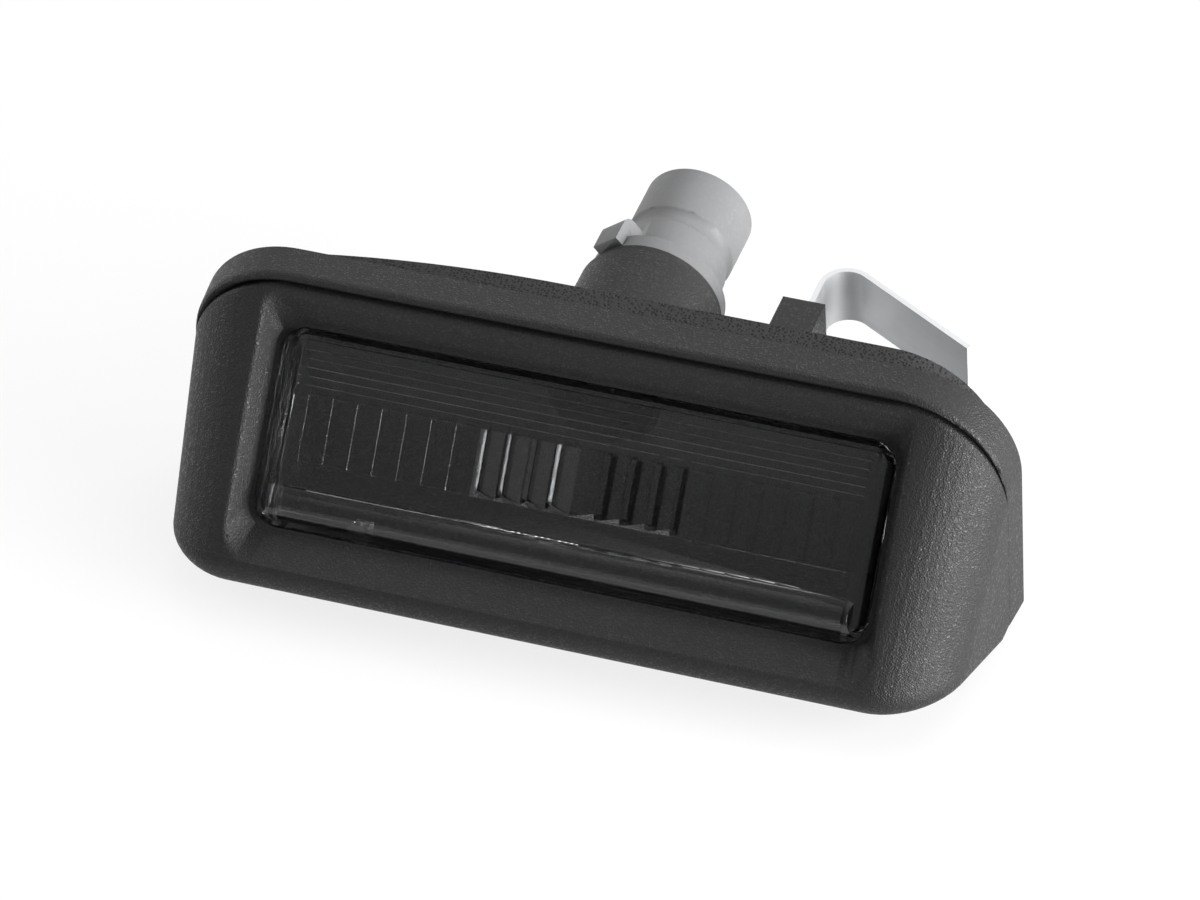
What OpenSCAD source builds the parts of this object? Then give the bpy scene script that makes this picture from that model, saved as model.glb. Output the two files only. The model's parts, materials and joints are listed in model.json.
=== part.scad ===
// Number plate lamp: a wedge-shaped moulded housing with a clear snap-in lens,
// a foam gasket, a spring clip and a twist-lock bulb holder behind it.
// Frame: origin at the centre of the gasket's sealing face, which lies in Y = 0.
// +Y points into the car body, +Z runs up the flange, X along its length.

/* [Flange] */
// Length of the flange's rear edge, along X
flange_l = 93.7; // [92.5:0.1:104]
// Draft of the housing's ends, as an angle
end_draft = 5; // [3:0.5:6]
// Height of the flange, along Z
flange_h = 31.4; // [30.6:0.2:36]
// Depth of the flange's lip
lip_t = 4.6; // [4:0.1:6]
// Radius of the flange's two upper corners
upper_r = 12; // [9:0.5:13]
// Radius of the flange's two lower corners
lower_r = 0.8; // [0.6:0.1:2]
// Rounding of the lip's front edge
lip_round = 0.8; // [0.4:0.1:1.2]
// Step from the lip's top edge down to the wedge body
body_step = 1.5; // [1:0.1:2.5]
// Width of the groove between lip and body
groove_w = 0.9; // [0.4:0.1:1]
// Depth of the groove between lip and body
groove_t = 0.8; // [0.5:0.1:1.5]

/* [Gasket] */
// Thickness of the foam gasket
gasket_t = 2.6; // [1.5:0.1:4]
// Width of the gasket's ring
gasket_w = 4.2; // [3:0.1:5]
// How far the gasket's long edges lie inside the flange's edge
gasket_inset = 0.1; // [0.1:0.05:1]
// How far the gasket's ends lie inside the flange's rear edge
gasket_end = 2.9; // [1:0.1:4]
// Drop of the gasket's bowed top edge towards the hook
gasket_bow = 2.2; // [0.2:0.1:3]
// Distance from the flange's middle to where the bow begins
gasket_bow_x = 4.3; // [0:0.1:10]

/* [Wedge body] */
// Angle between the lens and the flange
lens_tilt = 40; // [36:0.5:43]
// Depth of the lens's centre in front of the sealing face
lens_depth = 15.6; // [15:0.1:18]
// Height of the lens's centre above the flange's centre
lens_up = 1.5; // [1:0.1:2.5]
// Height of the body's rim above the lens's face
rim_h = 1.8; // [1:0.1:2.4]
// Radius of the body's two long front corners
side_r = 9; // [7:0.5:10]
// Radius of the body's nose
nose_r = 2.5; // [1.8:0.1:3]
// Wall of the housing
wall_t = 2.2; // [1.6:0.1:2.4]

/* [Mouth] */
// Length of the mouth at the rim
mouth_l = 73.6; // [72:0.2:74]
// From the lens's centre up to the mouth's top edge
mouth_up = 14.3; // [13:0.1:14.6]
// From the lens's centre down to the mouth's bottom edge
mouth_down = 15.2; // [13.5:0.1:15.6]
// Radius of the mouth's lower corners
mouth_r = 3.6; // [2:0.1:5]

/* [Lens] */
// Length of the lens
lens_l = 70; // [66:0.2:70.6]
// Height of the lens along its slope
lens_h = 21.8; // [20:0.2:22.4]
// Radius of the lens's corners
lens_r = 2.8; // [2:0.1:4]
// Depth of the lens's side walls
tray_t = 4.5; // [4:0.1:4.8]
// Thickness of the lens's face
face_t = 2.2; // [1.8:0.1:2.6]
// Thickness of the lens's side walls
tray_wall = 1.2; // [0.8:0.1:1.6]
// Bevel round the lens's face
lens_bevel = 1; // [0.4:0.1:1.4]
// Radius of the bead along the lens's lower edge
bead_r = 2.9; // [2.4:0.1:3.2]
// How far the bead stands out of the face
bead_out = 0.5; // [0.4:0.1:1.4]
// Clearance round the lens in its seat
lens_gap = 0.15; // [0.1:0.05:0.3]

/* [Flutes] */
// Width of one upright flute
flute_w = 2.85; // [2.6:0.05:3]
// Number of upright flutes in each half
flute_n = 11; // [8:1:11]
// Number of deep flutes in each half, next to the middle
prism_n = 4; // [2:1:6]
// Lower end of the flute band, below the lens's centre
flute_down = 3.4; // [2.5:0.1:4]
// Upper end of the flute band, above the lens's centre
flute_up = 4; // [3:0.1:4.4]
// Depth of a shallow flute
flute_t = 0.12; // [0.1:0.02:0.5]
// Depth of a deep flute
prism_t = 0.9; // [0.6:0.05:1.2]
// Number of fine cross flutes above the band
rib_n = 5; // [3:1:5]
// Pitch of the fine cross flutes
rib_w = 0.95; // [0.8:0.05:1]
// Depth of a fine cross flute
rib_t = 0.12; // [0.05:0.01:0.3]

/* [Bulb neck] */
// Distance of the neck's axis below the flange's top edge
neck_drop = 10; // [9.7:0.1:12]
// Distance of the neck's axis from the flange's middle, towards the clip
neck_x = 0.7; // [0:0.1:1.5]
// Outer radius of the neck
neck_r = 8.3; // [8:0.1:8.8]
// Radius of the neck's bore
bore_r = 6.5; // [6.3:0.1:6.6]
// How far the neck stands out behind the sealing face
neck_l = 9.5; // [8:0.1:12]

/* [Bulb holder] */
// Running clearance of the holder's spigot in the bore
spigot_gap = 0.05; // [0.03:0.01:0.1]
// Length of the spigot inside the neck
spigot_l = 8.4; // [7:0.1:9]
// Radius of the holder's collar
collar_r = 7.8; // [7.4:0.1:8.2]
// Thickness of the collar
collar_t = 2.4; // [2:0.1:3.5]
// Radius of the barrel
barrel_r = 6.2; // [6:0.05:6.6]
// Length of the barrel behind the collar
barrel_l = 14.2; // [13.2:0.1:18]
// Radial reach of the two grip wings
wing_r = 8.8; // [8.6:0.1:10]
// Width of a grip wing
wing_w = 3.4; // [2.5:0.1:4]
// Radial reach of the two locking lugs
lug_r = 7.3; // [7:0.05:7.35]
// Width of a locking lug, as an angle
lug_angle = 40; // [30:1:45]
// Turn that unlocks the holder, as an angle
twist = 50; // [45:1:60]
// Thickness of the rubber seal under the collar
seal_t = 0.9; // [0.6:0.1:1.4]

/* [Bulb] */
// Radius of the bulb's glass
glass_r = 5; // [4.6:0.05:5.05]
// Whole length of the bulb, with its wedge base
bulb_l = 25.5; // [25:0.1:26.2]
// How far the bulb's tip reaches in front of the sealing face
tip_depth = 4.8; // [4.4:0.1:5]
// Thickness of the wedge base
wedge_t = 2.6; // [2.2:0.1:2.8]
// Width of the wedge base
wedge_w = 9.2; // [8.8:0.1:9.4]

/* [Spring clip] */
// Thickness of the clip's sheet
sheet_t = 0.6; // [0.4:0.05:0.7]
// Width of the clip's strip
strip_w = 7; // [5:0.1:8]
// Distance of the clip's leg from the flange's nearer end
leg_in = 28.35; // [26.5:0.05:30]
// How far the clip's bend stands out behind the sealing face
bend_out = 18.1; // [16:0.1:20]
// Outer radius of the clip's bend
bend_r = 3.15; // [2.5:0.05:3.6]
// Angle of the leaf to the flange
leaf_angle = 29.8; // [24:0.2:34]
// Length of the leaf past the bend
leaf_l = 16.5; // [14:0.1:18]
// Width of the post that holds the leg
post_w = 4.8; // [4.2:0.1:5.5]
// Height of the post behind the sealing face
post_l = 10.3; // [8:0.1:12]
// Wall of the post on either side of the strip
post_wall = 1.2; // [0.8:0.1:1.6]

/* [Hook] */
// Thickness of the panel that the lamp grips
panel_t = 1.5; // [0.8:0.1:2.5]
// Width of the fixed hook, along Z
hook_w = 8; // [5:0.5:12]
// Distance of the hook's root from the flange's nearer end
hook_in = 10.85; // [10:0.05:12.5]

/* [Hidden] */
fine_fn = 96;
soft_fn = 32;
cut = 1;                 // how far a cutter runs past the surface it cuts
half_l = flange_l / 2;
half_h = flange_h / 2;
neck_up = half_h - neck_drop;    // height of the neck's axis over the flange's middle
leg_x = half_l - leg_in;         // outer side of the clip's leg
hook_x = half_l - hook_in;       // outer side of the hook's root
back_y = -gasket_t;              // rear face of the flange
lip_y = back_y - lip_t;          // front face of the lip
inner_y = back_y - wall_t;       // inner face of the rear wall
front_y = -2 * lens_depth;       // a plane in front of everything
nose_n = rim_h - nose_r;         // height of the nose's centre line over the lens's face
corner_n = rim_h - side_r;       // the same for the axes of the long front corners
nose_b = -mouth_down;            // its place along the slope
nose_c = lens_at(nose_b, nose_n);
nose_slope = (nose_r - half_h - nose_c[1]) / (lip_y - nose_c[0]);
seat_l = lens_l + 2 * lens_gap;
seat_h = lens_h + 2 * lens_gap;
moat_w = 0.45;                   // width of the dark gap that shows round the lens
moat_n = -1;                     // its floor
thin = 0.02;                     // thickness of a section inside a hull
ledge_w = 1.35;                  // ledge that the lens's rim rests on
spigot_r = bore_r - spigot_gap;
lug_gap = 0.15;                  // play of a locking lug in its track
seal_gap = 0.05;                 // play between seal and neck when locked
collar_y = neck_l + seal_gap + seal_t;
barrel_y = collar_y + collar_t;
barrel_end = barrel_y + barrel_l;
bulb_end = bulb_l - tip_depth;
dome_y = glass_r - tip_depth;    // centre of the bulb's round tip
glass_wall = 0.6;
lead_r = 0.18;
lead_x = 0.7;                    // the leads' place inside the pinch
bulb_bore_r = glass_r + 0.3;

// Point at height b along the lens's slope and n in front of its face, as [y, z]
function lens_at(b, n) = [
    b * sin(lens_tilt) - n * cos(lens_tilt) - lens_depth,
    b * cos(lens_tilt) + n * sin(lens_tilt) + lens_up
];

// Place along the slope of a nose centre that lies n in front of the lens's face
function nose_at(n) =
    (nose_c[1] - lens_up - n * sin(lens_tilt)
        - nose_slope * (lens_depth + n * cos(lens_tilt) + nose_c[0]))
    / (cos(lens_tilt) - nose_slope * sin(lens_tilt));

// Half length of the drafted housing at depth y
function end_x(y) = half_l - (back_y - y) * tan(end_draft);

// Place along X of a long front corner's axis, at height b along the slope
function corner_x(b) = end_x(lens_at(b, corner_n)[0]) - side_r;

// Height of the body's underside at depth y
function under_z(y) = nose_slope * (y - lip_y) - half_h;

// Lens frame: X along the lens, Y up its slope, Z out of its face
module on_lens() {
    translate([0, -lens_depth, lens_up])
        rotate([90 - lens_tilt, 0, 0])
            children();
}

// Neck frame: Z along the neck towards the rear
module on_neck() {
    translate([neck_x, 0, neck_up])
        rotate([-90, 0, 0])
            children();
}

// A profile drawn in [y, z] becomes a bar along X
module along_x(length) {
    translate([-length / 2, 0, 0])
        rotate([90, 0, 90])
            linear_extrude(length)
                children();
}

// An outline drawn in [x, z] becomes a plate between two depths
module plate(y_front, y_rear) {
    translate([0, y_rear, 0])
        rotate([90, 0, 0])
            linear_extrude(y_rear - y_front)
                children();
}

// Rectangle with two upper and two lower corner radii
module rounded(x, low, high, r_low, r_high) {
    for (s = [-1, 1]) {
        translate([s * (x - r_high), high - r_high])
            circle(r_high, $fn = fine_fn);
        translate([s * (x - r_low), low + r_low])
            circle(r_low, $fn = fine_fn);
    }
    translate([-x, low + r_low])
        square([2 * x, high - low - r_low - r_high]);
    translate([r_high - x, high - r_high])
        square([2 * (x - r_high), r_high]);
    translate([r_low - x, low])
        square([2 * (x - r_low), r_low]);
}

module flange_outline(x = half_l, inset = 0) {
    rounded(x - inset, inset - half_h, half_h - inset,
            max(lower_r - inset, 0.2), upper_r - inset);
}

module body_outline(x = half_l, rise = 0) {
    rounded(x, -half_h, half_h - body_step + rise, lower_r, upper_r);
}

module lens_outline(grow = 0) {
    rounded(lens_l / 2 + grow, -lens_h / 2 - grow, lens_h / 2 + grow,
            lens_r + grow, lens_r + grow);
}

// Lip: a drafted plate, whose front edge is rounded in steps
module lip() {
    steps = 4;
    hull() {
        plate(back_y - thin, back_y)
            flange_outline();
        for (i = [0:steps]) {
            turn = 90 * i / steps;
            y = lip_y + lip_round * (1 - sin(turn));
            plate(y, y + thin)
                flange_outline(end_x(y), lip_round * (1 - cos(turn)));
        }
    }
}

// Wedge: flat sloping front, long rounded front corners and a nose whose round
// section is carried round both corners
module wedge() {
    track_r = side_r - nose_r;
    top_b = mouth_up + 2 * nose_r;
    disc_t = 0.15;
    steps = 12;
    hull() {
        for (s = [-1, 1]) {
            for (i = [0:steps]) {
                turn = 90 * i / steps;
                n = corner_n + track_r * cos(turn);
                b = nose_at(n);
                on_lens()
                    translate([s * (corner_x(b) + track_r * sin(turn)), b, n])
                        rotate([0, 90 + s * turn, 0])
                            cylinder(r = nose_r, h = disc_t, center = true, $fn = 4 * steps);
            }
            on_lens()
                translate([s * corner_x(top_b), top_b, corner_n])
                    rotate([-90, 0, 0])
                        cylinder(r = side_r, h = thin, $fn = 4 * steps);
        }
        plate(back_y - thin, back_y)
            body_outline();
        translate([-end_x(lip_y), lip_y, -half_h - 0.2])
            cube([2 * end_x(lip_y), thin, 0.2]);
    }
}

module body() {
    intersection() {
        plate(front_y, back_y)
            body_outline(end_x(lip_y));
        wedge();
    }
}

// Groove that deepens in steps and fades out where the body's ends run flush
module groove() {
    steps = 3;
    x = end_x(lip_y);
    for (i = [1:steps])
        plate(lip_y - cut, lip_y + groove_t * i / steps)
            difference() {
                body_outline(x, groove_w * (steps + 1 - i) / steps);
                body_outline(x);
            }
}

// Outline of the mouth's sloping walls at height n over the lens's face
module mouth_section(n) {
    part = (n - moat_n) / (rim_h - moat_n);
    foot_x = seat_l / 2 + moat_w;
    foot_b = seat_h / 2 + moat_w;
    translate([0, 0, n])
        linear_extrude(thin)
            rounded(foot_x + (mouth_l / 2 - foot_x) * part,
                    -foot_b - (mouth_down - foot_b) * part,
                    foot_b + (mouth_up - foot_b) * part,
                    lens_r + (mouth_r - lens_r) * part, lens_r * (1 - part / 2));
}

// Mouth: walls that slope from the rim down to the gap round the lens
module mouth() {
    on_lens()
        hull() {
            mouth_section(moat_n);
            mouth_section(rim_h + 0.5);
        }
}

// Lamp chamber behind the lens, drawn in [y, z]
module chamber() {
    ledge = seat_h / 2 - ledge_w;
    low = lens_at(-ledge, -tray_t);
    high = lens_at(ledge, -tray_t);
    floor_y = low[0] + 1.6;
    along_x(seat_l - 2 * ledge_w)
        polygon([
            lens_at(-ledge, -face_t),
            low,
            [floor_y, under_z(floor_y) + wall_t],
            [inner_y, under_z(inner_y) + wall_t],
            [inner_y, high[1] - (inner_y - high[0]) * tan(lens_tilt)],
            high,
            lens_at(ledge, -face_t)
        ]);
}

// Seat of the lens, with the two windows that its snaps engage
module lens_seat() {
    on_lens() {
        translate([0, 0, -tray_t])
            linear_extrude(tray_t + 0.4)
                lens_outline(lens_gap);
        for (s = [-1, 1])
            translate([s * seat_l / 2, snap_b, -tray_t + 1])
                cube([2.2, snap_w + 0.4, 2], center = true);
    }
}

snap_b = 1.6;                    // the snaps' place along the slope
snap_w = 3.4;                    // their width

// Bore of the neck, which runs on into the chamber past the bulb's round tip
module neck_bore() {
    bore_y = lens_at(seat_h / 2, -tray_t)[0] - 0.25;
    on_neck()
        translate([0, 0, bore_y])
            cylinder(r = bore_r, h = neck_l - bore_y + cut, $fn = fine_fn);
}

track_y = 5;                     // front of the locking track in the neck
track_t = 2;                     // thickness of a locking lug

// Tracks: each lug enters along the neck and turns into its locked place
module lock_tracks() {
    track_in = bore_r - 0.5;
    track_out = lug_r + lug_gap;
    on_neck()
        for (side = [0, 180]) {
            rotate([0, 0, side - lug_angle / 2 - 3])
                translate([0, 0, track_y - lug_gap])
                    rotate_extrude(angle = twist + lug_angle + 6, $fn = fine_fn)
                        translate([track_in, 0])
                            square([track_out - track_in, track_t + 2 * lug_gap]);
            rotate([0, 0, side + twist - lug_angle / 2 - 2])
                translate([0, 0, track_y])
                    rotate_extrude(angle = lug_angle + 4, $fn = fine_fn)
                        translate([track_in, 0])
                            square([track_out - track_in, neck_l - track_y + cut]);
        }
}

// Post with a pocket for the clip's leg
module clip_post() {
    post_x = leg_x - (post_w - sheet_t) / 2 - 0.4;
    strip_up = neck_up - strip_w / 2 - post_wall;
    difference() {
        translate([post_x, inner_y, strip_up])
            cube([post_w, post_l - inner_y, strip_w + 2 * post_wall]);
        translate([leg_x - 0.1, back_y + 0.6, neck_up - strip_w / 2 - 0.1])
            cube([sheet_t + 0.2, post_l + cut - back_y, strip_w + 0.2]);
    }
}

// Fixed hook that reaches behind the panel at the other end
module hook() {
    root_t = 3;
    reach = 2.6;
    tip_t = 2;
    translate([-hook_x, inner_y, -hook_w / 2])
        cube([root_t, panel_t + tip_t - inner_y, hook_w]);
    translate([-hook_x - reach, panel_t, -hook_w / 2])
        cube([reach + cut, tip_t, hook_w]);
}

// Pockets that keep the walls even at the ends, open to the rear
module end_pockets() {
    pocket_w = 4.6;
    pocket_h = 9;
    pocket_t = 5.5;
    rib_gap = 1.6;
    for (s = [-1, 1])
        for (t = [-1, 1])
            translate([s * (seat_l / 2 + 0.9 + pocket_w / 2), back_y,
                       t * (pocket_h + rib_gap) / 2 - 2])
                cube([pocket_w, 2 * pocket_t, pocket_h], center = true);
}

module housing() {
    color("#2b2b2b")
        difference() {
            union() {
                lip();
                body();
                on_neck()
                    translate([0, 0, inner_y])
                        cylinder(r = neck_r, h = neck_l - inner_y, $fn = fine_fn);
                clip_post();
                hook();
            }
            groove();
            mouth();
            lens_seat();
            chamber();
            neck_bore();
            lock_tracks();
            end_pockets();
        }
}

// Section of the lens, drawn in [slope, height over the face]
module lens_section() {
    low = -lens_h / 2;
    high = lens_h / 2;
    bead_b = low + bead_r;
    bead_n = bead_out - bead_r;
    translate([bead_b, bead_n])
        circle(bead_r, $fn = fine_fn);
    polygon([
        [low, -tray_t], [high, -tray_t], [high, -lens_bevel],
        [high - lens_bevel, 0], [bead_b, 0], [bead_b, bead_n], [low, bead_n]
    ]);
}

// One flute: deepest beside its steep side, and it runs out towards the middle
module flute(k, depth) {
    run = depth / 2;
    foot = depth * 0.8;
    x = k * flute_w;
    intersection() {
        translate([0, flute_up, 0])
            rotate([90, 0, 0])
                linear_extrude(flute_up + flute_down)
                    polygon([[x, cut], [x, 0], [x + run, -depth], [x + flute_w, 0],
                             [x + flute_w, cut]]);
        translate([x + flute_w / 2, 0, 0])
            along_x(flute_w)
                polygon([[-flute_down, cut], [-flute_down, 0], [foot - flute_down, -depth],
                         [flute_up - 0.1, -depth], [flute_up, 0], [flute_up, cut]]);
    }
}

module flutes() {
    translate([neck_x, 0, 0])
        for (k = [-flute_n:-1]) {
            depth = k < -prism_n ? flute_t : prism_t;
            flute(k, depth);
            mirror([1, 0, 0])
                flute(k, depth);
        }
}

module cross_flutes() {
    start = flute_up + 0.9;
    length = lens_l - 2 * (tray_wall + 1.4);
    for (i = [0:rib_n - 1])
        along_x(length)
            polygon([[start + i * rib_w, cut], [start + i * rib_w, 0],
                     [start + i * rib_w + 0.1, -rib_t], [start + (i + 1) * rib_w, 0],
                     [start + (i + 1) * rib_w, cut]]);
}

// Inside of the tray: flat behind the face, hollow behind the bead
module tray_hollow() {
    bead_b = bead_r - lens_h / 2;
    bead_n = bead_out - bead_r;
    translate([0, 0, -tray_t - cut])
        linear_extrude(tray_t + cut - face_t)
            lens_outline(-tray_wall);
    along_x(lens_l - 2 * lens_r)
        translate([bead_b, bead_n])
            circle(bead_r - tray_wall, $fn = fine_fn);
}

// Snap on each short side wall
module snaps() {
    for (s = [-1, 1])
        translate([s * lens_l / 2, snap_b, -tray_t])
            rotate([90, 0, 0])
                linear_extrude(snap_w, center = true)
                    polygon([[-s * 0.6, 0.1], [0, 0.1], [s * 0.7, 1.5], [-s * 0.6, 1.5]]);
}

// Locating rib inside the bead, near one end
module lens_rib() {
    rib_in = 11.1;
    translate([rib_in - lens_l / 2, 0.2 - lens_h / 2, -tray_t])
        cube([1.8, 1.8, 3.2]);
}

module lens() {
    color([0.85, 0.88, 0.9, 0.4])
        on_lens() {
            difference() {
                intersection() {
                    translate([0, 0, -tray_t])
                        linear_extrude(tray_t + bead_out + cut)
                            lens_outline();
                    along_x(lens_l + cut)
                        lens_section();
                    translate([0, lens_h, 0])
                        rotate([90, 0, 0])
                            linear_extrude(2 * lens_h)
                                end_section();
                }
                tray_hollow();
                flutes();
                cross_flutes();
            }
            snaps();
            lens_rib();
        }
}

// Section of the lens along its length, with both ends bevelled
module end_section() {
    x = lens_l / 2;
    polygon([
        [-x, -tray_t - cut], [x, -tray_t - cut], [x, bead_out - 2 * lens_bevel],
        [x - 2 * lens_bevel, bead_out], [x - 2 * lens_bevel, 2 * bead_out],
        [2 * lens_bevel - x, 2 * bead_out], [2 * lens_bevel - x, bead_out],
        [-x, bead_out - 2 * lens_bevel]
    ]);
}

// Foam ring: the flange's outline with a bowed top edge, notched round the neck
module gasket() {
    ring_x = half_l - gasket_end;
    top_z = half_h - gasket_inset;
    bow_r = pow(ring_x - upper_r - gasket_bow_x, 2) / (2 * gasket_bow);
    color("#1c1c1c")
        difference() {
            plate(back_y, 0)
                difference() {
                    intersection() {
                        rounded(ring_x, gasket_inset - half_h, top_z, lower_r, upper_r);
                        union() {
                            translate([-gasket_bow_x, top_z - bow_r])
                                circle(bow_r, $fn = 4 * fine_fn);
                            translate([-gasket_bow_x, -half_h])
                                square([flange_l, flange_h]);
                        }
                    }
                    rounded(ring_x - gasket_w, gasket_inset + gasket_w - half_h,
                            top_z - gasket_w, 2, 6);
                }
            on_neck()
                translate([0, 0, back_y - cut])
                    cylinder(r = neck_r + 0.15, h = gasket_t + 2 * cut, $fn = fine_fn);
        }
}

// Strip folded in one piece: leg, bend and leaf, drawn in [x, y] and as wide as the strip
module spring_clip() {
    c = [leg_x + bend_r, bend_out - bend_r];
    along = [cos(leaf_angle), -sin(leaf_angle)];
    steps = 16;
    outer = [for (i = [0:steps]) c + bend_r * bend_ray(i / steps)];
    inner = [for (i = [steps:-1:0]) c + (bend_r - sheet_t) * bend_ray(i / steps)];
    color("#c9cbcc")
        translate([0, 0, neck_up - strip_w / 2])
            linear_extrude(strip_w)
                polygon(concat(
                    [[leg_x, back_y + 0.8]],
                    outer,
                    [c + bend_r * bend_ray(1) + leaf_l * along,
                     c + (bend_r - sheet_t) * bend_ray(1) + leaf_l * along],
                    inner,
                    [[leg_x + sheet_t, back_y + 0.8]]
                ));
}

// Direction from the bend's centre, from the leg (0) to the leaf (1)
function bend_ray(part) = [-cos(part * (90 + leaf_angle)), sin(part * (90 + leaf_angle))];

ring_y = barrel_y + 5.6;         // middle of the hollow ring round the barrel
ring_w = 2.4;
ring_t = 0.45;
barrel_fillet = 0.8;             // from the collar's rear face into the barrel

// Profile of the holder's outside, drawn in [radius, depth]
module holder_profile() {
    edge = 0.45;
    hollow_r = (ring_w * ring_w / 4 + ring_t * ring_t) / (2 * ring_t);
    difference() {
        polygon([
            [0, neck_l - spigot_l], [spigot_r - edge, neck_l - spigot_l],
            [spigot_r, neck_l - spigot_l + edge], [spigot_r, collar_y],
            [collar_r, collar_y], [collar_r, barrel_y - edge], [collar_r - edge, barrel_y],
            [barrel_r + barrel_fillet, barrel_y], [barrel_r, barrel_y + barrel_fillet],
            [barrel_r, barrel_end - 2 * edge], [barrel_r - 2 * edge, barrel_end],
            [0, barrel_end]
        ]);
        translate([barrel_r - ring_t + hollow_r, ring_y])
            circle(hollow_r, $fn = fine_fn);
    }
}

partition_y = bulb_end + 0.6;    // floor between bulb and connector
partition_t = 0.8;
blade_x = 2.9;                   // middle of a connector blade
blade_t = 0.4;
blade_w = 2.4;

module bulb_holder() {
    slot_x = blade_x + 0.6;
    color("#b4b6b7")
        on_neck()
            difference() {
                union() {
                    rotate_extrude($fn = fine_fn)
                        holder_profile();
                    for (side = [0, 180])
                        rotate([0, 0, side - lug_angle / 2])
                            translate([0, 0, track_y])
                                rotate_extrude(angle = lug_angle, $fn = fine_fn)
                                    translate([spigot_r - 1, 0])
                                        square([lug_r - spigot_r + 1, track_t]);
                    for (side = [143, 323])
                        rotate([0, 0, side])
                            grip_wing();
                }
                translate([0, 0, -cut])
                    cylinder(r = bulb_bore_r, h = collar_y + 0.4 + cut, $fn = fine_fn);
                intersection() {
                    translate([-slot_x, -wedge_w / 2 - 0.3, neck_l])
                        cube([2 * slot_x, wedge_w + 0.6, partition_y - neck_l]);
                    cylinder(r = barrel_r - 1.1, h = barrel_end, $fn = fine_fn);
                }
                for (s = [-1, 1])
                    translate([s * blade_x, 0, partition_y])
                        cube([blade_t + 0.1, blade_w + 0.1, 4 * partition_t], center = true);
                translate([0, 0, partition_y + partition_t])
                    cylinder(r = barrel_r - 1.1, h = barrel_l, $fn = fine_fn);
            }
}

// Grip wing on the collar, flat on both sides, with its outer corner rounded
module grip_wing() {
    wing_y = barrel_y + 2;
    foot_y = collar_y + 0.4;
    corner_r = 1.2;
    root_r = barrel_r - 0.6;
    translate([wing_w / 2, 0, 0])
        rotate([0, -90, 0])
            linear_extrude(wing_w)
                union() {
                    translate([foot_y, root_r])
                        square([wing_y - foot_y, wing_r - corner_r - root_r]);
                    translate([foot_y, root_r])
                        square([wing_y - foot_y - corner_r, wing_r - root_r]);
                    translate([wing_y - corner_r, wing_r - corner_r])
                        circle(corner_r, $fn = soft_fn);
                }
}

module holder_seal() {
    color("#3a3a3a")
        on_neck()
            translate([0, 0, neck_l + seal_gap])
                difference() {
                    cylinder(r = neck_r - 0.3, h = seal_t, $fn = fine_fn);
                    translate([0, 0, -cut])
                        cylinder(r = spigot_r + 0.02, h = seal_t + 2 * cut, $fn = fine_fn);
                }
}

// Folded brass strip: leaf beside the bulb's base, step, and blade in the connector
module contact(side) {
    leaf_x = wedge_t / 2 + 2 * lead_r + 0.08;
    leaf_y = collar_y + 2;
    step_y = partition_y - 1;
    color("#c8a24a")
        on_neck()
            translate([0, blade_w / 2, 0])
                rotate([90, 0, 0])
                    linear_extrude(blade_w)
                        scale([side, 1])
                            polygon([
                                [leaf_x, leaf_y], [leaf_x + blade_t, leaf_y],
                                [leaf_x + blade_t, step_y],
                                [blade_x + blade_t / 2, step_y],
                                [blade_x + blade_t / 2, barrel_end - 0.6],
                                [blade_x - blade_t / 2, barrel_end - 0.6],
                                [blade_x - blade_t / 2, step_y + blade_t],
                                [leaf_x, step_y + blade_t]
                            ]);
}

// Half section of the bulb's round envelope, drawn in [radius, depth]
module envelope(r, end) {
    intersection() {
        union() {
            translate([0, dome_y])
                circle(r, $fn = fine_fn);
            translate([0, dome_y])
                square([r, end - dome_y - 2]);
            translate([r - 2, end - 2])
                circle(2, $fn = fine_fn);
            translate([0, end - 3])
                square([r - 2, 3]);
        }
        translate([0, -bulb_l])
            square([2 * r, 2 * bulb_l]);
    }
}

envelope_end = 9.4;              // where the round glass ends and the pinch begins

module bulb_glass() {
    color([0.9, 0.93, 0.95, 0.35])
        on_neck()
            difference() {
                union() {
                    rotate_extrude($fn = fine_fn)
                        envelope(glass_r, envelope_end);
                    intersection() {
                        translate([-wedge_t / 2, -wedge_w / 2, envelope_end - 1.5])
                            cube([wedge_t, wedge_w, bulb_end - envelope_end + 1.5]);
                        cylinder(r = wedge_w / 2 + 0.2, h = bulb_l, $fn = fine_fn);
                    }
                }
                rotate_extrude($fn = fine_fn)
                    envelope(glass_r - glass_wall, envelope_end - 1);
                for (s = [-1, 1])
                    translate([s * lead_x, 0, envelope_end - 2])
                        cylinder(r = lead_r + 0.02, h = bulb_l, $fn = soft_fn);
            }
}

filament_y = 1.6;                // depth of the filament
filament_x = 2.2;                // half its length

module bulb_filament() {
    turns = 9;
    pitch = 2 * (filament_x - lead_r) / turns;
    color("#8a8f94")
        on_neck()
            translate([0, 0, filament_y])
                rotate([0, 90, 0]) {
                    cylinder(r = 0.12, h = 2 * (filament_x - lead_r), center = true,
                             $fn = soft_fn);
                    for (i = [0:turns - 1])
                        translate([0, 0, (i - (turns - 1) / 2) * pitch])
                            cylinder(r = 0.26, h = pitch / 2, center = true,
                                     $fn = soft_fn);
                }
}

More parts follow.
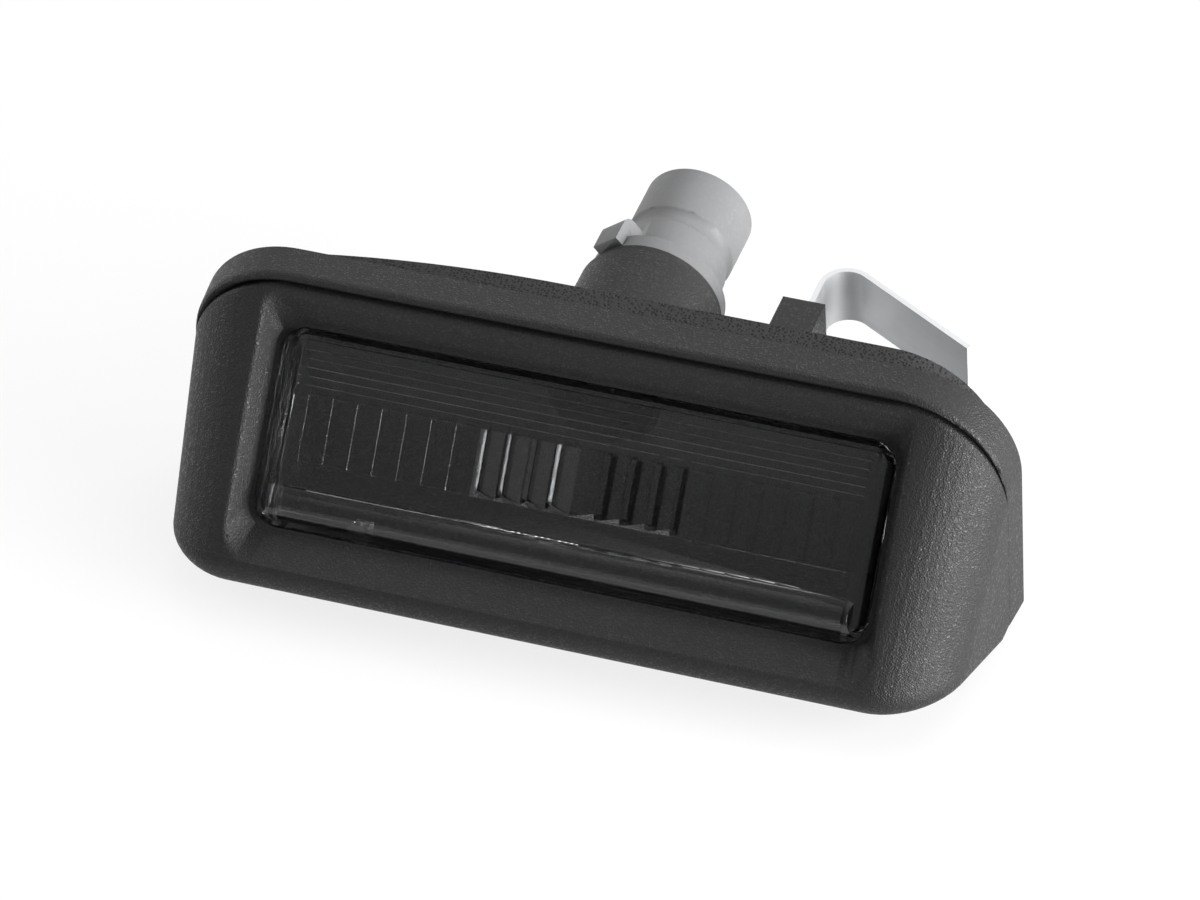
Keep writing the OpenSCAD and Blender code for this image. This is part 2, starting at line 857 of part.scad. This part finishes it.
// Lead: support wire in the glass, pinch, fold over the base's end and back along its side
module bulb_lead(side) {
    bend_y = envelope_end - 1.2;
    side_x = wedge_t / 2 + lead_r + 0.04;
    spread = [filament_x - lead_x, filament_y - bend_y];
    fold_y = bulb_end + 0.2;
    color("#9aa0a6")
        on_neck()
            mirror([side < 0 ? 1 : 0, 0, 0]) {
                translate([lead_x, 0, bend_y - 0.1])
                    cylinder(r = lead_r, h = fold_y + 0.1 - bend_y, $fn = soft_fn);
                translate([lead_x, 0, bend_y + 0.05])
                    rotate([0, atan2(spread[0], spread[1]), 0])
                        cylinder(r = lead_r - 0.01, h = norm(spread), $fn = soft_fn);
                translate([lead_x - lead_r - 0.02, -lead_r - 0.02, fold_y - 0.05])
                    cube([side_x - lead_x + 2 * lead_r + 0.04, 2 * lead_r + 0.04, 0.36]);
                translate([side_x, 0, bulb_end - 5])
                    cylinder(r = lead_r, h = 5.2, $fn = soft_fn);
            }
}

housing();
lens();
gasket();
spring_clip();
bulb_holder();
holder_seal();
contact(-1);  // contact_left
contact(1);  // contact_right
bulb_glass();
bulb_filament();
bulb_lead(-1);  // bulb_lead_left
bulb_lead(1);  // bulb_lead_right
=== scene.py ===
# Number plate lamp: finishes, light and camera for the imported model.
# Units are metres, in the model's own frame: Y = 0 is the gasket's sealing face,
# +Y runs into the car body and +Z runs up the flange.
import json
import math

import bpy
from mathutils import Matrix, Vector


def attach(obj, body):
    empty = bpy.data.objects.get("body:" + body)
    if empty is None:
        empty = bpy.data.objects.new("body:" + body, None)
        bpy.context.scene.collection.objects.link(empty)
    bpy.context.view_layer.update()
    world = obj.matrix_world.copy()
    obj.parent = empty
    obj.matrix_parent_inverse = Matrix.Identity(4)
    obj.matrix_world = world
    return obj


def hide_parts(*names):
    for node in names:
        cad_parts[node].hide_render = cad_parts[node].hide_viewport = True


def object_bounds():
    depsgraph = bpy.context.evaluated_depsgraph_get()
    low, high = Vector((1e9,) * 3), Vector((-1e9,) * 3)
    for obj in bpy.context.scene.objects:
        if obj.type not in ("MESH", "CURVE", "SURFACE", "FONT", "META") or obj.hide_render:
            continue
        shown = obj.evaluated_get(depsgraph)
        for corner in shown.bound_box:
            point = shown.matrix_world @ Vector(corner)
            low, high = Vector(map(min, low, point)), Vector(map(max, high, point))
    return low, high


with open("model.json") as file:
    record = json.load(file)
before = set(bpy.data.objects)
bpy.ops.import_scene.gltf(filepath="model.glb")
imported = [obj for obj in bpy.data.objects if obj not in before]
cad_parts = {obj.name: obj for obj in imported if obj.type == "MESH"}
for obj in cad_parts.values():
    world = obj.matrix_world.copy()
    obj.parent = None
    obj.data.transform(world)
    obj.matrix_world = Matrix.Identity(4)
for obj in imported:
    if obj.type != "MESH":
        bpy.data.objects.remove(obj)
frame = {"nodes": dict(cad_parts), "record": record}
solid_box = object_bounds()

# Camera: a long lens, above and in front of the lamp and to its right.
# Its turns are in degrees, and its focal length and sensor in millimetres.
camera_place = (0.21490, -0.53451, 0.51536)
camera_turn = (47.733, 2.906, 19.485)
camera_lens = 213.0
camera_sensor = 36.0
camera_data = bpy.data.cameras.new("camera")
camera_data.lens = camera_lens
camera_data.sensor_width = camera_sensor
camera = bpy.data.objects.new("camera", camera_data)
camera.location = camera_place
camera.rotation_euler = [math.radians(turn) for turn in camera_turn]
bpy.context.scene.collection.objects.link(camera)
bpy.context.scene.camera = camera
bpy.context.scene.view_settings.view_transform = "Standard"

# Studio: a white table top that keeps the lamp's soft shadow, in a room that is
# bright behind the lamp and dim in front of it, as in front of a lit white sheet.
floor_drop = 0.0002
floor_size = 3.0
paper_white = 0.8
shadow_share = 0.2
table_fade, sky_fade = 0.2, 0.5
bright_side = (0.1, 0.85, 0.5)
dim_until, bright_from = -0.2, 0.8
dim_sky = 0.09


def feed(tree, node, sockets):
    """Sets each named socket, or links it where it is given another node's output."""
    for socket, value in sockets.items():
        if isinstance(value, bpy.types.NodeSocket):
            tree.links.new(value, node.inputs[socket])
        else:
            node.inputs[socket].default_value = value
    return node


def add_node(tree, kind, sockets):
    """A new shader node with its sockets fed."""
    return feed(tree, tree.nodes.new("ShaderNode" + kind), sockets)


def reckon(tree, operation, *terms, clamped=False):
    """Output of a sum on other nodes' outputs and plain numbers."""
    node = tree.nodes.new("ShaderNodeMath")
    node.operation = operation
    node.use_clamp = clamped
    return feed(tree, node, dict(enumerate(terms))).outputs[0]


def spread(tree, value, start, end, low, high):
    """Output that runs from low to high while a value runs from start to end."""
    sockets = {"Value": value, "From Min": start, "From Max": end, "To Min": low, "To Max": high}
    return add_node(tree, "MapRange", sockets).outputs[0]


def seen_directly(tree, kinds, fade):
    """Output that is 1 on the named kinds of ray, less the fade for each bounce before."""
    path = tree.nodes.new("ShaderNodeLightPath").outputs
    bounces = reckon(tree, "ADD", path["Diffuse Depth"], path["Glossy Depth"])
    seen = reckon(tree, "MULTIPLY_ADD", bounces, -fade, 1.0, clamped=True)
    kind = path[kinds[0]]
    for other in kinds[1:]:
        kind = reckon(tree, "MAXIMUM", kind, path[other])
    return reckon(tree, "MULTIPLY", seen, kind)


def table_white():
    """White paper that glows where it is seen directly, but for the share that takes shadow."""
    material = bpy.data.materials.new("table_white")
    material.use_nodes = True
    tree = material.node_tree
    tree.nodes.clear()
    paper = add_node(tree, "BsdfDiffuse", {"Color": (paper_white, paper_white, paper_white, 1)})
    glow = add_node(tree, "Emission", {"Strength": 1.0})
    seen = seen_directly(tree, ("Is Camera Ray", "Is Glossy Ray", "Is Transmission Ray"), table_fade)
    share = reckon(tree, "MULTIPLY", seen, 1.0 - shadow_share)
    mix = add_node(tree, "MixShader", {0: share, 1: paper.outputs[0], 2: glow.outputs[0]})
    add_node(tree, "OutputMaterial", {"Surface": mix.outputs[0]})
    return material


table_height = solid_box[0][2] - floor_drop
bpy.ops.object.select_all(action="DESELECT")
bpy.ops.mesh.primitive_plane_add(size=floor_size, location=(0, 0, table_height))
table_top = bpy.context.object
table_top.name = "table_top"
table_top.data.materials.append(table_white())

world = bpy.data.worlds.new("sky")
bpy.context.scene.world = world
world.use_nodes = True
sky = world.node_tree
way = sky.nodes.new("ShaderNodeTexCoord").outputs["Generated"]
backness = sky.nodes.new("ShaderNodeVectorMath")
backness.operation = "DOT_PRODUCT"
feed(sky, backness, {0: way, 1: bright_side})
room = spread(sky, backness.outputs["Value"], dim_until, bright_from, dim_sky, 1.0)
seen = seen_directly(sky, ("Is Camera Ray", "Is Transmission Ray"), sky_fade)
level = sky.nodes.new("ShaderNodeMix")
level.data_type = "FLOAT"
feed(sky, level, {"Factor": seen, "A": room, "B": 1.0})
feed(sky, sky.nodes["Background"], {"Strength": level.outputs["Result"], "Color": (1, 1, 1, 1)})


def softbox(name, place, size, watts):
    """A rectangular area light that faces the lamp."""
    data = bpy.data.lights.new(name, "AREA")
    data.shape = "RECTANGLE"
    data.size, data.size_y = size
    data.energy = watts
    light = bpy.data.objects.new(name, data)
    light.location = place
    light.rotation_euler = (-Vector(place)).to_track_quat("-Z", "Y").to_euler()
    bpy.context.scene.collection.objects.link(light)


softbox("overhead_rear", place=(0.1, 0.35, 0.55), size=(0.5, 0.4), watts=1.2)
softbox("right_side", place=(0.6, 0.0, 0.12), size=(0.4, 0.4), watts=9.0)
softbox("right_front", place=(0.65, -0.4, 0.12), size=(0.3, 0.3), watts=5.0)
softbox("left_side", place=(-0.6, 0.05, 0.25), size=(0.3, 0.4), watts=1.4)
softbox("left_card", place=(-0.55, -0.35, 0.15), size=(0.1, 0.2), watts=0.02)

# Housing: the black moulded body with flange, bulb neck, clip post and hook.
# Glass-filled polyamide from one tool, spark-eroded on its outside to a fine
# grain that glints, partly through a painted glint in its flecks' colour, and
# joined to nothing: all other pieces hang on it.
housing_black = (0.0115, 0.0115, 0.0122)
housing_crease = 28
members = frame["record"]["behaviour"]["bodies"]
weld = 0.000002


def surface(name):
    """A new material, and its node tree, its shader and the place on the piece."""
    material = bpy.data.materials.new(name)
    material.use_nodes = True
    tree = material.node_tree
    place = tree.nodes.new("ShaderNodeTexCoord").outputs["Object"]
    return material, tree, tree.nodes["Principled BSDF"], place


def shade(colour, share):
    """A share of a colour, darker under 1 and lighter above it."""
    return [min(part * share, 1) for part in colour] + [1]


def two_toned(tree, share, first, second):
    """Output of two colours, mixed by a share."""
    mix = tree.nodes.new("ShaderNodeMix")
    mix.data_type = "RGBA"
    return feed(tree, mix, {"Factor": share, "A": first, "B": second}).outputs["Result"]


def relief(tree, height, strength, depth):
    """Output for a shader's normal: a height as relief, with its depth in metres."""
    sockets = {"Height": height, "Strength": strength, "Distance": depth}
    return add_node(tree, "Bump", sockets).outputs[0]


def moulded(name, colour, rough, grain, depth, glint=0.4, gloss_and_painted_glint=1.0):
    """Moulded plastic: a fine grain with glossier flecks whose lighter colour is a painted glint,
    and a faint mottle.
    """
    cloud_scale = grain * 0.45
    mottle_scale, mottle_darkest, mottle_lightest = 140, 0.86, 1.14
    fleck_start, fleck_full = 0.7, 0.8
    # The flecks' lighter colour is a painted glint; their lower roughness is their own gloss.
    painted_glint_colour = shade(colour, 1 + 0.7 * gloss_and_painted_glint)
    between_flecks, on_flecks = rough + 0.05, rough - 0.2 * gloss_and_painted_glint
    material, tree, shader, place = surface(name)
    cells = add_node(tree, "TexVoronoi", {"Vector": place, "Scale": grain}).outputs
    cloud = add_node(tree, "TexNoise", {"Vector": place, "Scale": cloud_scale, "Detail": 3})
    height = reckon(tree, "ADD", cells["Distance"], cloud.outputs["Fac"])
    mottle = add_node(tree, "TexNoise", {"Vector": place, "Scale": mottle_scale, "Detail": 4})
    darkest, lightest = shade(colour, mottle_darkest), shade(colour, mottle_lightest)
    tone = two_toned(tree, mottle.outputs["Fac"], darkest, lightest)
    gloss_and_painted_glint_flecks = spread(tree, cells["Color"], fleck_start, fleck_full, 0, 1)
    feed(tree, shader, {
        "Base Color": two_toned(tree, gloss_and_painted_glint_flecks, tone, painted_glint_colour),
        "Roughness": spread(tree, gloss_and_painted_glint_flecks, 0, 1, between_flecks, on_flecks),
        "Normal": relief(tree, height, 0.7, depth),
        "Specular IOR Level": glint,
    })
    return material


def choose(piece):
    """Makes one piece the only selected one, for the operators that follow."""
    bpy.ops.object.select_all(action="DESELECT")
    piece.select_set(True)
    bpy.context.view_layer.objects.active = piece


def copied(name, material, joined=0.4):
    """A welded copy of a solid's mesh. Faces that lean apart by less than joined degrees merge."""
    mesh = frame["nodes"][name].data.copy()
    mesh.materials.clear()
    mesh.materials.append(material)
    piece = bpy.data.objects.new(name + "_finished", mesh)
    bpy.context.scene.collection.objects.link(piece)
    choose(piece)
    bpy.ops.object.mode_set(mode="EDIT")
    bpy.ops.mesh.select_all(action="SELECT")
    bpy.ops.mesh.remove_doubles(threshold=weld)
    if joined:
        bpy.ops.mesh.dissolve_limited(angle_limit=math.radians(joined))
    bpy.ops.mesh.select_all(action="DESELECT")
    bpy.ops.object.mode_set(mode="OBJECT")
    return piece


def finished(piece, name, crease, weighted=True):
    """Smooth shading up to a crease, led by the larger faces; the copy rides for its solid."""
    choose(piece)
    bpy.ops.object.shade_smooth_by_angle(angle=math.radians(crease))
    if weighted:
        shading = piece.modifiers.new("even_shading", "WEIGHTED_NORMAL")
        shading.mode = "FACE_AREA"
        shading.weight = 100
        shading.keep_sharp = True
        bpy.ops.object.modifier_apply(modifier=shading.name)
    body = next(body for body, names in members.items() if name in names)
    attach(piece, body)
    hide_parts(name)
    return piece


# The mouth's rim, rounded after the copy is made. It lies in a plane that leans as
# the lens does, so it is found by its height along that slope and in front of it.
lens_turn = math.radians(40)
lens_spot = (-0.0156, 0.0015)
rim_rise, rim_slack = 0.0018, 0.00003
rim_low, rim_high, rim_half = -0.0147, 0.01435, 0.03682
rim_round, rim_steps = 0.0005, 3


def over_lens(point):
    """Height of a point along the lens's slope, and in front of its face."""
    back, up = point[1] - lens_spot[0], point[2] - lens_spot[1]
    return (back * math.sin(lens_turn) + up * math.cos(lens_turn),
            up * math.sin(lens_turn) - back * math.cos(lens_turn))


def on_rim(edge, mesh):
    """True for an edge of the mouth's rim, in the plane of the body's front."""
    for index in edge.vertices:
        point = mesh.vertices[index].co
        along, out = over_lens(point)
        if abs(out - rim_rise) > rim_slack or not rim_low < along < rim_high:
            return False
        if abs(point[0]) > rim_half:
            return False
    return True


housing_grain = moulded("housing_grain", housing_black, rough=0.5, grain=5200,
                        depth=0.00009, glint=0.33)
housing = copied("housing", housing_grain)
for edge in housing.data.edges:
    edge.select = on_rim(edge, housing.data)
bpy.ops.object.mode_set(mode="EDIT")
bpy.ops.mesh.select_mode(type="EDGE")
bpy.ops.mesh.bevel(offset=rim_round, segments=rim_steps, affect="EDGES", clamp_overlap=False)
bpy.ops.object.mode_set(mode="OBJECT")
finished(housing, "housing", housing_crease)

# Lens: a clear polished tray with flutes on its upper part.
# Injection-moulded from clear acrylic, its optics cut in the tool, and snapped
# into the housing's mouth. The flutes' facets are flat, and the rest is smooth.
lens_tint = (0.9, 0.91, 0.92)
lens_crease = 12
acrylic_ior = 1.49
flute_low, flute_half = -0.005, 0.0326


def dressed(name, material, crease, joined=0.4, weighted=True):
    """A finished copy of a solid that needs no other shaping."""
    return finished(copied(name, material, joined), name, crease, weighted)


def clear(name, tint, ior, rough, waver, glint=0.5):
    """Clear moulding: a faint flow mark in its gloss and a slight waver in its surface."""
    flow_scale, flow_tint = 90, 0.97
    glossiest, dullest = rough * 0.4, rough * 1.6
    material, tree, shader, place = surface(name)
    flow = add_node(tree, "TexNoise", {"Vector": place, "Scale": flow_scale, "Detail": 5})
    marks = flow.outputs["Fac"]
    feed(tree, shader, {
        "Base Color": two_toned(tree, marks, shade(tint, flow_tint), shade(tint, 1)),
        "Roughness": spread(tree, marks, 0, 1, glossiest, dullest),
        "Normal": relief(tree, marks, 0.3, waver),
        "Transmission Weight": 1.0,
        "IOR": ior,
        "Specular IOR Level": glint,
    })
    return material


lens_clear = clear("lens_clear", lens_tint, acrylic_ior, rough=0.04, waver=0.000008, glint=0.3)
lens = dressed("lens", lens_clear, lens_crease, joined=0, weighted=False)
for face in lens.data.polygons:
    if over_lens(face.center)[0] > flute_low and abs(face.center[0]) < flute_half:
        face.use_smooth = False

# Gasket: a ring of closed-cell foam, stuck on behind the flange.
# Die-cut from sheet, so its faces are skinned and its edges show cut cells.
foam_black = (0.02, 0.02, 0.021)
gasket_crease = 28


def foam(name, colour, pores):
    """Closed-cell foam: cell walls in relief, the hollows between them darkened as painted shade and
    the walls lightened as painted light, and no gloss.
    """
    wall_start, wall_full = 0.15, 0.55
    # Painted shade in the hollows and painted light on the walls: darker and lighter copies of the
    # foam's colour.
    painted_hollow_shade, painted_wall_light = shade(colour, 0.45), shade(colour, 1.5)
    material, tree, shader, place = surface(name)
    cells = add_node(tree, "TexVoronoi", {"Vector": place, "Scale": pores}).outputs
    walls = spread(tree, cells["Distance"], wall_start, wall_full, 0, 1)
    feed(tree, shader, {
        "Base Color": two_toned(tree, walls, painted_hollow_shade, painted_wall_light),
        "Roughness": 0.88,
        "Normal": relief(tree, walls, 0.8, 0.00012),
        "Specular IOR Level": 0.25,
    })
    return material


dressed("gasket", foam("gasket_foam", foam_black, pores=2600), gasket_crease)

# Spring clip: one strip of bright spring steel, folded over and pressed into the post.
# Slit from rolled strip, so its rolling lines run along it and its gloss is uneven.
steel_grey = (0.62, 0.63, 0.64)
small_crease = 30


def metal(name, colour, rough, lines, stretch, depth):
    """Worked metal: drawn-out lines in the surface, and handling marks in colour and gloss."""
    marks_scale, marks_darkest, marks_lightest = 260, 0.88, 1.08
    lines_share = 0.5
    gloss_start, gloss_full, gloss_change = 0.45, 1.05, 0.1
    material, tree, shader, place = surface(name)
    drawn = add_node(tree, "Mapping", {"Vector": place, "Scale": stretch}).outputs[0]
    rolling = add_node(tree, "TexNoise", {"Vector": drawn, "Scale": lines, "Detail": 3})
    rolled = rolling.outputs["Fac"]
    handling = add_node(tree, "TexNoise", {
        "Vector": place, "Scale": marks_scale, "Detail": 6, "Roughness": 0.65})
    marks = handling.outputs["Fac"]
    darkest, lightest = shade(colour, marks_darkest), shade(colour, marks_lightest)
    wear = reckon(tree, "MULTIPLY_ADD", rolled, lines_share, marks)
    gloss = spread(tree, wear, gloss_start, gloss_full, rough - gloss_change, rough + gloss_change)
    feed(tree, shader, {
        "Base Color": two_toned(tree, marks, darkest, lightest),
        "Roughness": gloss,
        "Normal": relief(tree, rolled, 0.35, depth),
        "Metallic": 1.0,
    })
    return material


clip_steel = metal("clip_steel", steel_grey, rough=0.55, lines=900,
                   stretch=(0.06, 0.06, 3.0), depth=0.00001)
dressed("spring_clip", clip_steel, small_crease)

# Bulb holder: a light grey plug with two grip wings and a collar.
# Moulded from heat-stable nylon with a matt skin, and turned home in the neck.
holder_colour = (0.15, 0.152, 0.155)
holder_crease = 40
# Its faint flecks are lightened a little as painted glints.
holder_grey = moulded("holder_grey", holder_colour, rough=0.5, grain=2600,
                      depth=0.00001, glint=0.4, gloss_and_painted_glint=0.05)
dressed("bulb_holder", holder_grey, holder_crease)

# Holder seal: a black rubber ring that sits in the holder's groove.
# Pressed in a mould, with a dull skin and a few glossier flecks, lightened a little as painted
# glints.
rubber_black = (0.02, 0.02, 0.02)
seal_rubber = moulded("seal_rubber", rubber_black, rough=0.7, grain=2000,
                      depth=0.00002, glint=0.3, gloss_and_painted_glint=0.3)
dressed("holder_seal", seal_rubber, small_crease)

# Contacts: two brass tongues in the holder that carry the plug and the bulb's leads.
# Stamped from rolled strip and pushed into the moulding.
brass_yellow = (0.72, 0.55, 0.27)
brass = metal("contact_brass", brass_yellow, rough=0.32, lines=900,
              stretch=(3.0, 0.06, 3.0), depth=0.000006)
for side in ("left", "right"):
    dressed("contact_" + side, brass, small_crease)

# Bulb: a wedge-base glass envelope with a coiled filament on two lead wires.
# Blown and pressed glass, drawn tungsten and drawn nickel wire, sealed together.
glass_tint = (0.95, 0.96, 0.97)
glass_ior = 1.5
wire_grey = (0.5, 0.5, 0.52)
bulb_clear = clear("bulb_clear", glass_tint, glass_ior, rough=0.01, waver=0.00004)
dressed("bulb_glass", bulb_clear, small_crease)
wire = metal("bulb_wire", wire_grey, rough=0.38, lines=1500,
             stretch=(1.0, 1.0, 1.0), depth=0.000004)
for name in ("bulb_filament", "bulb_lead_left", "bulb_lead_right"):
    dressed(name, wire, small_crease)
